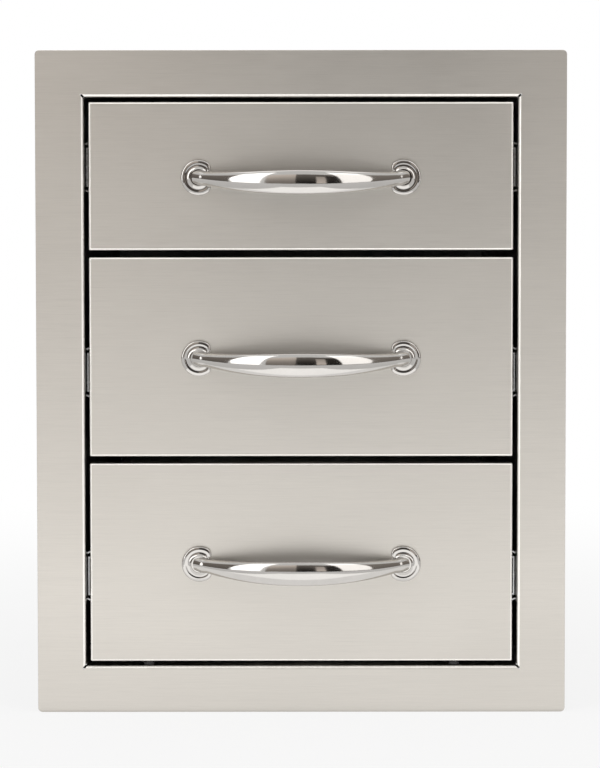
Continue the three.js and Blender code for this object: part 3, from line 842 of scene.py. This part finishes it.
def foot_outline(share):
    """A disc cut off towards the bow, where its rim ends in two round lobes that curl back."""
    radius = FOOT_DIAMETER / 2
    lobe_x = FOOT_CHORD - FOOT_LOBE_RADIUS
    lobe_z = math.sqrt((radius - FOOT_LOBE_RADIUS) ** 2 - lobe_x ** 2)
    lobe_angle = math.atan2(lobe_z, lobe_x)
    outline = [
        *arc((0, 0), radius, lobe_angle, 2 * math.pi - lobe_angle, 56)[1:-1],
        *arc((lobe_x, -lobe_z), FOOT_LOBE_RADIUS, -lobe_angle, FOOT_CURL, 18),
        *arc((lobe_x, lobe_z), FOOT_LOBE_RADIUS, -FOOT_CURL, lobe_angle, 18),
    ]
    return [(x * share, z * share) for x, z in outline]


# Shares of the foot's outline and height, from its seat over the rim and the dished band to the bar
FOOT_PROFILE = [
    (1.0, 0.0), (1.0, 0.4), (0.99, 0.5), (0.97, 0.57), (0.94, 0.615), (0.9, 0.645), (0.85, 0.66),
    (0.82, 0.682), (0.78, 0.657), (0.74, 0.638), (0.7, 0.63), (0.65, 0.642), (0.6, 0.678),
    (0.56, 0.73), (0.52, 0.79), (0.485, 0.88), (0.46, 1.0),
]


def handle_feet():
    """Both feet of a handle, about the middle of the handle's seat."""
    feet = []
    for side in (-1, 1):
        rings = []
        for share, height in FOOT_PROFILE:
            points = foot_outline(share)
            rings.append([(-side * (x - FOOT_SPACING / 2), -FOOT_HEIGHT * height, z) for x, z in points])
        feet.append(loft(rings))
    return joined(feet)


def bow_handle(drawer, rule):
    """The cast handle, polished but for its back, which is unpolished and darkened as painted shade."""
    low, high = box_mm(f"{drawer}_front_skin")
    made = solid(f"{drawer}_bow_handle", handle_feet())
    place = Vector((0, low.y - SEAT_GAP, (low.z + high.z) / 2 - HANDLE_DROP)) * MM
    rule.applied(made, {"Place": place})
    dressed(made, f"{drawer}_drawer", None, [f"{drawer}_handle"], crease=50)
    # Faces towards the drawer front get the dark back finish: painted shade
    refinished(made, back_casting_painted_shade, lambda centre, normal: normal.y > 0.5)


def points_object(name, points):
    """An object whose mesh is only points, for a tree to set pieces on."""
    mesh = bpy.data.meshes.new(name)
    mesh.from_pydata([Vector(p) * MM for p in points], [], [])
    return new_object(name, mesh)


def handle_screws(drawer, rule):
    nodes = [f"{drawer}_handle_screw_{side}" for side in SIDES]
    low, high = box_mm(f"{drawer}_handle_screw_left")
    under_head = high.y - SCREW_HEAD_HEIGHT
    middle = (low.z + high.z) / 2
    made = points_object(f"{drawer}_handle_screws",
                         [(side * FOOT_SPACING / 2, under_head, middle) for side in SIDES.values()])
    rule.applied(made, {
        "Head Diameter": (high.z - low.z) * MM,
        "Head Height": SCREW_HEAD_HEIGHT * MM,
        "Shank Diameter": SCREW_DIAMETER * MM,
        "Shank Length": (under_head - low.y) * MM,
        "Facing": Euler((-math.pi / 2, 0, 0)),
    })
    dressed(made, f"{drawer}_drawer", None, nodes)


def mirrored(upper_half):
    """A path from end to end that mirrors its upper half about the first axis."""
    return [(a, -b) for a, b in reversed(upper_half[1:])] + upper_half[1:]


def rail_outlines():
    """Outlines of the slide members. The first number is the distance from the side panel."""
    quarter, steps = math.pi / 2, 10
    cup, wave = CUP_HALF_ANGLE, WAVE_HALF_ANGLE
    outer = (OUTER_BALL_OFFSET, OUTER_BALL_HEIGHT)
    inner = (INNER_BALL_OFFSET, INNER_BALL_HEIGHT)
    cup_rim = RACE_RADIUS * math.cos(cup)
    outer_cup = arc(outer, RACE_RADIUS, quarter + cup, quarter - cup, steps)
    groove = arc(outer, RACE_RADIUS, -quarter - wave, -quarter + wave, steps)
    hump = arc(inner, RACE_RADIUS + MEMBER_SHEET, quarter + wave, quarter - wave, steps)
    inner_cup = arc(inner, RACE_RADIUS, -quarter + cup, -quarter - cup, steps)
    cabinet = mirrored([(MEMBER_SHEET, 0), (MEMBER_SHEET, OUTER_BALL_HEIGHT + cup_rim), *outer_cup])
    between = mirrored([(MIDDLE_WEB, 0), (MIDDLE_WEB, groove[0][1]), *groove, *hump])
    rim = INNER_BALL_HEIGHT - cup_rim
    web = rounded([(SLIDE_THICKNESS, 0), (SLIDE_THICKNESS, rim), inner_cup[0]], DRAWER_MEMBER_BEND, 5)
    drawer = mirrored([*web[:-1], *inner_cup])
    return {
        "cabinet": folded_sheet(cabinet, MEMBER_SHEET),
        "intermediate": folded_sheet(between, -MEMBER_SHEET),
        "drawer": folded_sheet(drawer, MEMBER_SHEET),
    }


# Holes in each member: places along it, radius, and length of a slot
RAIL_HOLES = {
    "cabinet": [(35, 2.3, 0), (51, 2.3, 9), (163, 2.3, 0), (291, 2.3, 0), (307, 2.3, 9), (419, 2.3, 0)],
    "intermediate": [(24, 2.5, 14), (228.5, 3.2, 22), (433, 2.5, 14)],
    "drawer": [(30, 2.1, 0), (46, 2.1, 8), (165, 2.1, 0), (293, 2.1, 0), (411, 2.1, 8), (427, 2.1, 0)],
}


def slot_outline(along, radius, length):
    quarter = math.pi / 2
    ends = arc((along + length / 2, 0), radius, -quarter, quarter, 10)
    return ends + arc((along - length / 2, 0), radius, quarter, 3 * quarter, 10)


def cut_across(outline, side):
    """A cutter through a slide's web, from an outline in y and z."""
    return extruded(outline, "x", side * SLIDE_CUT_START, side * SLIDE_CUT_END)


def slide_rails():
    """All slide members, pierced for their fixings and set on their bodies."""
    for member, outline in rail_outlines().items():
        for side_name, side in SIDES.items():
            wall = [(side * (SLIDE_WALL - a), b) for a, b in outline]
            start, end = SLIDE_START, SLIDE_START + SLIDE_LENGTH
            master = solid(f"{member}_rail_{side_name}", extruded(wall, "y", start, end))
            cuts = [cut_across(slot_outline(start + along, radius, length), side)
                    for along, radius, length in RAIL_HOLES[member]]
            combined(master, "DIFFERENCE", [joined(cuts)])
            for drawer in DRAWERS:
                node = f"{drawer}_slide_{member}_member_{side_name}"
                low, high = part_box(node)
                mesh = master.data.copy()
                mesh.transform(Matrix.Translation((0, 0, (low.z + high.z) / 2)))
                rail = new_object(f"{drawer}_slide_{member}_rail_{side_name}", mesh)
                bodies = {
                    "cabinet": "housing",
                    "intermediate": f"{drawer}_intermediate_members",
                    "drawer": f"{drawer}_drawer",
                }
                dressed(rail, bodies[member], slide_steel, [node], crease=40)
            bpy.data.objects.remove(master)


def ball_retainers(rule):
    """Strips with cut windows and two rows of balls."""
    kinds = {"outer": (OUTER_BALL_OFFSET, OUTER_BALL_HEIGHT), "inner": (INNER_BALL_OFFSET, INNER_BALL_HEIGHT)}
    for kind, (offset, ball_height) in kinds.items():
        web = RETAINER_WEBS[kind]
        top = ball_height + RETAINER_SHEET / 2
        path = mirrored([(web, 0), (web, top), (offset + RETAINER_ARM_OVERHANG, top)])
        outline = folded_sheet(rounded(path, RETAINER_BEND, 3), -RETAINER_SHEET)
        window_end = ball_height - WINDOW_MARGIN
        window = rounded_rectangle(WINDOW_HALF_LENGTH, -window_end, window_end, WINDOW_CORNER, 3)
        for side_name, side in SIDES.items():
            for drawer in DRAWERS:
                node = f"{drawer}_slide_{kind}_retainer_{side_name}"
                low, high = box_mm(node)
                middle = (low.z + high.z) / 2
                wall = [(side * (SLIDE_WALL - a), middle + b) for a, b in outline]
                made = solid(f"{drawer}_slide_{kind}_ball_retainer_{side_name}",
                             extruded(wall, "y", low.y, high.y))
                along = (low.y + high.y) / 2 - BALL_PITCH * (BALLS_IN_ROW - 1) / 2
                windows = []
                for i in range(1, BALLS_IN_ROW - 1, 3):
                    centre = along + BALL_PITCH * (i + 0.5)
                    windows.append(cut_across([(centre + a, middle + b) for a, b in window], side))
                combined(made, "DIFFERENCE", [joined(windows)])
                first = Vector((side * (SLIDE_WALL - offset), along, middle - ball_height)) * MM
                rule.applied(made, {
                    "Ball Diameter": BALL_DIAMETER * MM,
                    "Ball Pitch": BALL_PITCH * MM,
                    "Balls in a Row": BALLS_IN_ROW,
                    "First Ball": first,
                    "Rows Apart": 2 * ball_height * MM,
                })
                dressed(made, f"{drawer}_{kind}_retainers", None, [node], crease=50)


def heads(name, body, rule, points, facing, diameter, height):
    """One piece with a head on every point."""
    made = points_object(name, points)
    rule.applied(made, {"Head Diameter": diameter * MM, "Head Height": height * MM, "Facing": facing})
    dressed(made, body, None, crease=50)


def tray_rivets(rule):
    """Rivets that hold slides and tray back to the tray."""
    for drawer in DRAWERS:
        low, high = box_mm(f"{drawer}_front_skin")
        slide_middle = low.z + SLIDE_RISE
        under_rim = high.z - low.z - TRAY_TOP_DROP - UNDER_TRAY_RIM
        for side_name, side in SIDES.items():
            wall = side * (TRAY_HALF_WIDTH - TRAY_SHEET)
            slide_points = [(wall, SLIDE_START + along, slide_middle) for along in SLIDE_RIVETS]
            back_points = [(side * TRAY_HALF_WIDTH, TRAY_REAR - BACK_RIVET_INSET, low.z + rise)
                           for rise in (LOWER_BACK_RIVET, min(HIGHEST_BACK_RIVET, under_rim))]
            for kind, points, facing, diameter in (("slide", slide_points, -side, 6),
                                                   ("tray", back_points, side, 5)):
                heads(f"{drawer}_{kind}_rivets_{side_name}", f"{drawer}_drawer", rule,
                      points, Euler((0, facing * math.pi / 2, 0)), diameter, height=1)


def weld_mark_rule():
    """Presses two rows of shallow round weld marks into the sheet that is given."""
    rule = Rule("weld_marks")
    diameter = rule.size("Mark Diameter", 0.0065)
    depth = rule.size("Mark Depth", 0.0003)
    count = rule.size("Count", 6, "Int")
    first = rule.size("First Mark", (0.0, 0.0, 0.0), "Vector")
    step = rule.size("Step", (0.0, 0.0, 0.05), "Vector")
    apart = rule.size("Rows Apart", (0.0, 0.0, 0.5), "Vector")
    facing = rule.size("Facing", (0.0, 0.0, 0.0), "Vector")
    ball = rule.mesh("UVSphere", Segments=20, Rings=10, Radius=1.0)
    lens = rule.moved(ball, scale=rule.point(diameter * 0.5, diameter * 0.5, depth))
    row = rule.mesh("Line", Count=count, Start_Location=first, Offset=step)
    rows = rule.together(row, rule.moved(row, translation=apart))
    marks = rule.finished(rule.on_points(rows, lens, facing), weld_steel)
    rule.close(rule.cut(rule.finished(rule.entry.outputs["Geometry"], housing_steel), marks))
    return rule


def merged_copy(node, name):
    """A CAD node's mesh with its loose triangles joined, as an object of its own."""
    mesh = frame["nodes"][node].data.copy()
    mesh.materials.clear()
    work = bmesh.new()
    work.from_mesh(mesh)
    bmesh.ops.remove_doubles(work, verts=work.verts, dist=1e-6)
    flat = math.radians(1)
    bmesh.ops.dissolve_limit(work, angle_limit=flat, verts=work.verts, edges=work.edges)
    work.to_mesh(mesh)
    work.free()
    return new_object(name, mesh)


def housing_panels(rule):
    """Panels with spot-weld marks where they lap: the top and bottom panels' flanges inside the side
    panels, and the back panel on the side panels' rear flanges."""
    top_line = box_mm("top_panel")[0].z - WELD_ROW_INSET
    bottom_line = box_mm("bottom_panel")[1].z + WELD_ROW_INSET

    def marked(node, first, step, apart, facing):
        made = merged_copy(node, f"{node}_sheet")
        rule.applied(made, {
            "First Mark": Vector(first) * MM,
            "Step": Vector(step) * MM,
            "Rows Apart": Vector(apart) * MM,
            "Count": WELD_MARKS_IN_ROW,
            "Facing": Euler(facing),
        })
        dressed(made, "housing", None, [node])

    for side_name, side in SIDES.items():
        marked(f"side_panel_{side_name}", (side * SIDE_PANEL_OUTSIDE, WELD_ROW_START, bottom_line),
               (0, SIDE_WELD_PITCH, 0), (0, 0, top_line - bottom_line), (0, math.pi / 2, 0))
    marked("back_panel", (-BACK_WELD_ROW, BACK_PANEL_REAR, WELD_ROW_START),
           (0, 0, BACK_WELD_PITCH), (2 * BACK_WELD_ROW, 0, 0), (math.pi / 2, 0, 0))


def carried_over():
    """CAD nodes whose shape is right get only a finish."""
    for part in frame["record"]["subparts"]:
        node = frame["nodes"][part["node"]]
        if not node.hide_render:
            node.material_slots[0].material = FINISH_OF_SLOT[part["material_slot"]]


front_frame()
handle_rule = bow_handle_rule()
screw_rule = fastener_rule("pan_head_screws", screw_steel, recessed=True)
rivet_rule = fastener_rule("rivet_heads", screw_steel, recessed=False)
for drawer_name in DRAWERS:
    front_skin(drawer_name)
    bow_handle(drawer_name, handle_rule)
    handle_screws(drawer_name, screw_rule)
slide_rails()
ball_retainers(ball_row_rule())
tray_rivets(rivet_rule)
housing_panels(weld_mark_rule())
carried_over()


# Studio

def rays_that_see(tree):
    """1 for camera, glossy and transmission rays, which get the white studio, and 0 for the rest."""
    rays = tree.nodes.new("ShaderNodeLightPath").outputs
    seen = rays["Is Camera Ray"]
    for other in ("Is Glossy Ray", "Is Transmission Ray"):
        seen = math_node(tree, "MAXIMUM", seen, rays[other])
    return seen


def emptied(name):
    """A material without nodes but its output: itself, its tree and the output's surface."""
    made = bpy.data.materials.new(name)
    made.use_nodes = True
    made.node_tree.nodes.clear()
    output = made.node_tree.nodes.new("ShaderNodeOutputMaterial")
    return made, made.node_tree, output.inputs["Surface"]


def floor_finish():
    """White to what sees it, with some of the plain paint left near the unit to hold its shadow."""
    made, tree, surface = emptied("pale_floor")
    paint = new_node(tree, "ShaderNodeBsdfDiffuse", Color=(0.85, 0.85, 0.85, 1.0))
    glow = new_node(tree, "ShaderNodeEmission")
    place = new_node(tree, "ShaderNodeTexCoord").outputs["Object"]
    reach = new_node(tree, "ShaderNodeVectorMath", {"operation": "LENGTH"}, Vector=place)
    white_share = ramp(tree, reach.outputs["Value"], 0.5, 2.2, 0.82, 1.0)
    share = math_node(tree, "MULTIPLY", rays_that_see(tree), white_share)
    mix = new_node(tree, "ShaderNodeMixShader", Fac=share)
    tree.links.new(paint.outputs["BSDF"], mix.inputs[1])
    tree.links.new(glow.outputs["Emission"], mix.inputs[2])
    tree.links.new(mix.outputs["Shader"], surface)
    return made


def studio_world(diffuse_level):
    """White to what sees it, and a lower plain level that lights the unit."""
    world = bpy.data.worlds.new("studio")
    scene.world = world
    world.use_nodes = True
    tree = world.node_tree
    background = tree.nodes["Background"]
    background.inputs["Color"].default_value = (1.0, 1.0, 1.0, 1.0)
    level = ramp(tree, rays_that_see(tree), 0.0, 1.0, diffuse_level, 1.0)
    tree.links.new(level, background.inputs["Strength"])


def stage_sheet(name, corners, faces, finish):
    mesh = bpy.data.meshes.new(name)
    mesh.from_pydata(corners, [], faces)
    mesh.materials.append(finish)
    made = new_object(name, mesh)
    return made


def dim_wall(name, start, end, low, high, levels, distance=3.6):
    """A curved wall of the room round the unit, seen only in gloss. Its brightness goes from the
    first level at its foot to the second at its top. Angles are degrees to the right of the front."""
    finish, tree, surface = emptied(name)
    place = new_node(tree, "ShaderNodeTexCoord").outputs["Object"]
    parts = new_node(tree, "ShaderNodeSeparateXYZ", Vector=place)
    level = ramp(tree, parts.outputs["Z"], low, high, *levels)
    glow = new_node(tree, "ShaderNodeEmission", Color=(1.0, 0.9, 0.82, 1.0), Strength=level)
    tree.links.new(glow.outputs["Emission"], surface)
    steps = 16
    corners = []
    for i in range(steps + 1):
        angle = math.radians(start + (end - start) * i / steps)
        x, y = distance * math.sin(angle), -distance * math.cos(angle)
        corners += [(x, y, low), (x, y, high)]
    faces = [(2 * i, 2 * i + 2, 2 * i + 3, 2 * i + 1) for i in range(steps)]
    wall = stage_sheet(name, corners, faces, finish)
    for rays in ("camera", "diffuse", "transmission", "shadow"):
        setattr(wall, f"visible_{rays}", False)


def soft_light(name, place, target, width, height, power):
    """A rectangular lamp at a place, turned to its target."""
    lamp = bpy.data.lights.new(name, "AREA")
    lamp.shape = "RECTANGLE"
    lamp.size = width
    lamp.size_y = height
    lamp.energy = power
    made = new_object(name, lamp)
    made.location = place
    made.rotation_euler = (Vector(target) - Vector(place)).to_track_quat("-Z", "Y").to_euler()
    return made


floor_level = cad_box[0].z
FLOOR_REACH = 6.0
floor_corners = [(x * FLOOR_REACH, y * FLOOR_REACH, floor_level)
                 for x, y in ((-1, -1), (1, -1), (1, 1), (-1, 1))]
stage_sheet("floor", floor_corners, [(0, 1, 2, 3)], floor_finish())

# Walls in degrees to the right of the front, from where to where, then from height to height
dim_wall("front_wall_left", -26.5, -4, 0.22, 2.6, (0.32, 1.0))
dim_wall("front_wall_right", -4, 29, 0.22, 2.6, (0.03, 0.24))
dim_wall("left_wall", -105, -51, 0.22, 3.6, (0.2, 0.3))
dim_wall("right_wall", 29, 80, 0.22, 3.6, (0.26, 0.36))
dim_wall("window", 11.5, 18.5, 0.3, 1.7, (0.9, 0.6), distance=3.4)
dim_wall("window_side", 19, 28.5, 0.25, 1.9, (0.03, 0.05), distance=3.4)
dim_wall("rear_wall", 81, 254, 0.22, 3.6, (0.45, 0.6))
studio_world(0.45)

UNIT_MIDDLE = (0, 0.1, 0.28)
SIDE_POWER = {"left": 15.4, "right": 13.8}
for side_name, side in SIDES.items():
    soft_light(f"soft_{side_name}", (side * 1.5, -1.8, 1.5), (0, 0, 0.5), 0.95, 2.6, SIDE_POWER[side_name])
soft_light("soft_top", (0, 0.3, 2.6), UNIT_MIDDLE, 2.2, 1.6, 9)
soft_light("soft_rear", (0, 2.8, 1.2), UNIT_MIDDLE, 2.4, 1.4, 9)

# Two flat lamps lie on the floor before the unit and light its front from below.
LAMP_LIFT = 0.0005
for name, near, far, power in (("near_fill", 0.005, 0.3, 0.35), ("low_fill", 0.3, 1.65, 3.25)):
    middle = -(near + far) / 2
    fill = soft_light(name, (0, middle, floor_level + LAMP_LIFT), (0, middle, 2), 0.95, far - near, power)
    fill.visible_camera = False

CAMERA_PLACE = (-0.00095, -2.45, 0.4019)
CAMERA_DIP = 2.77
CAMERA_ROLL = 0.05
camera_data = bpy.data.cameras.new("camera")
camera_data.sensor_width = 36
camera_data.lens = 124.4
camera = new_object("camera", camera_data)
camera.location = CAMERA_PLACE
camera.rotation_euler = (math.radians(90 - CAMERA_DIP), math.radians(CAMERA_ROLL), 0)
scene.camera = camera

scene.view_settings.view_transform = "Standard"
